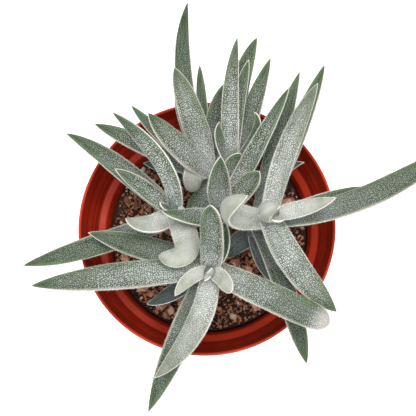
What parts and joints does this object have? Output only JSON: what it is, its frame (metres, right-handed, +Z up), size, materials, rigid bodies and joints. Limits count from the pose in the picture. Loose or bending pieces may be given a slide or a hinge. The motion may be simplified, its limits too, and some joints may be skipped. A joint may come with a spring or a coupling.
{
  "type": "potted crassula mesembryanthemoides",
  "caption": "Small silvery succulent with long hairy pointed leaves, growing in gritty mix in a terracotta-coloured plastic nursery pot.",
  "frame": {"origin": "middle of the pot's flat underside, on the surface it stands on", "axes": "+Z up along the pot's axis; the longest leaf over the rim points to +X"},
  "size_m": [0.1403, 0.1367, 0.1253],
  "materials": {
    "pot_plastic": "satin",
    "potting_mix": "matte",
    "leaf_tissue": "matte"
  },
  "bodies": {
    "root": {"pot": "pot_plastic", "soil": "potting_mix", "leafy_stem_front": "leaf_tissue", "leafy_stem_right": "leaf_tissue", "leafy_stem_left": "leaf_tissue", "leafy_stem_middle": "leaf_tissue", "leafy_stem_back": "leaf_tissue", "leafy_stem_back_left": "leaf_tissue"}
  },
  "joints": []
}
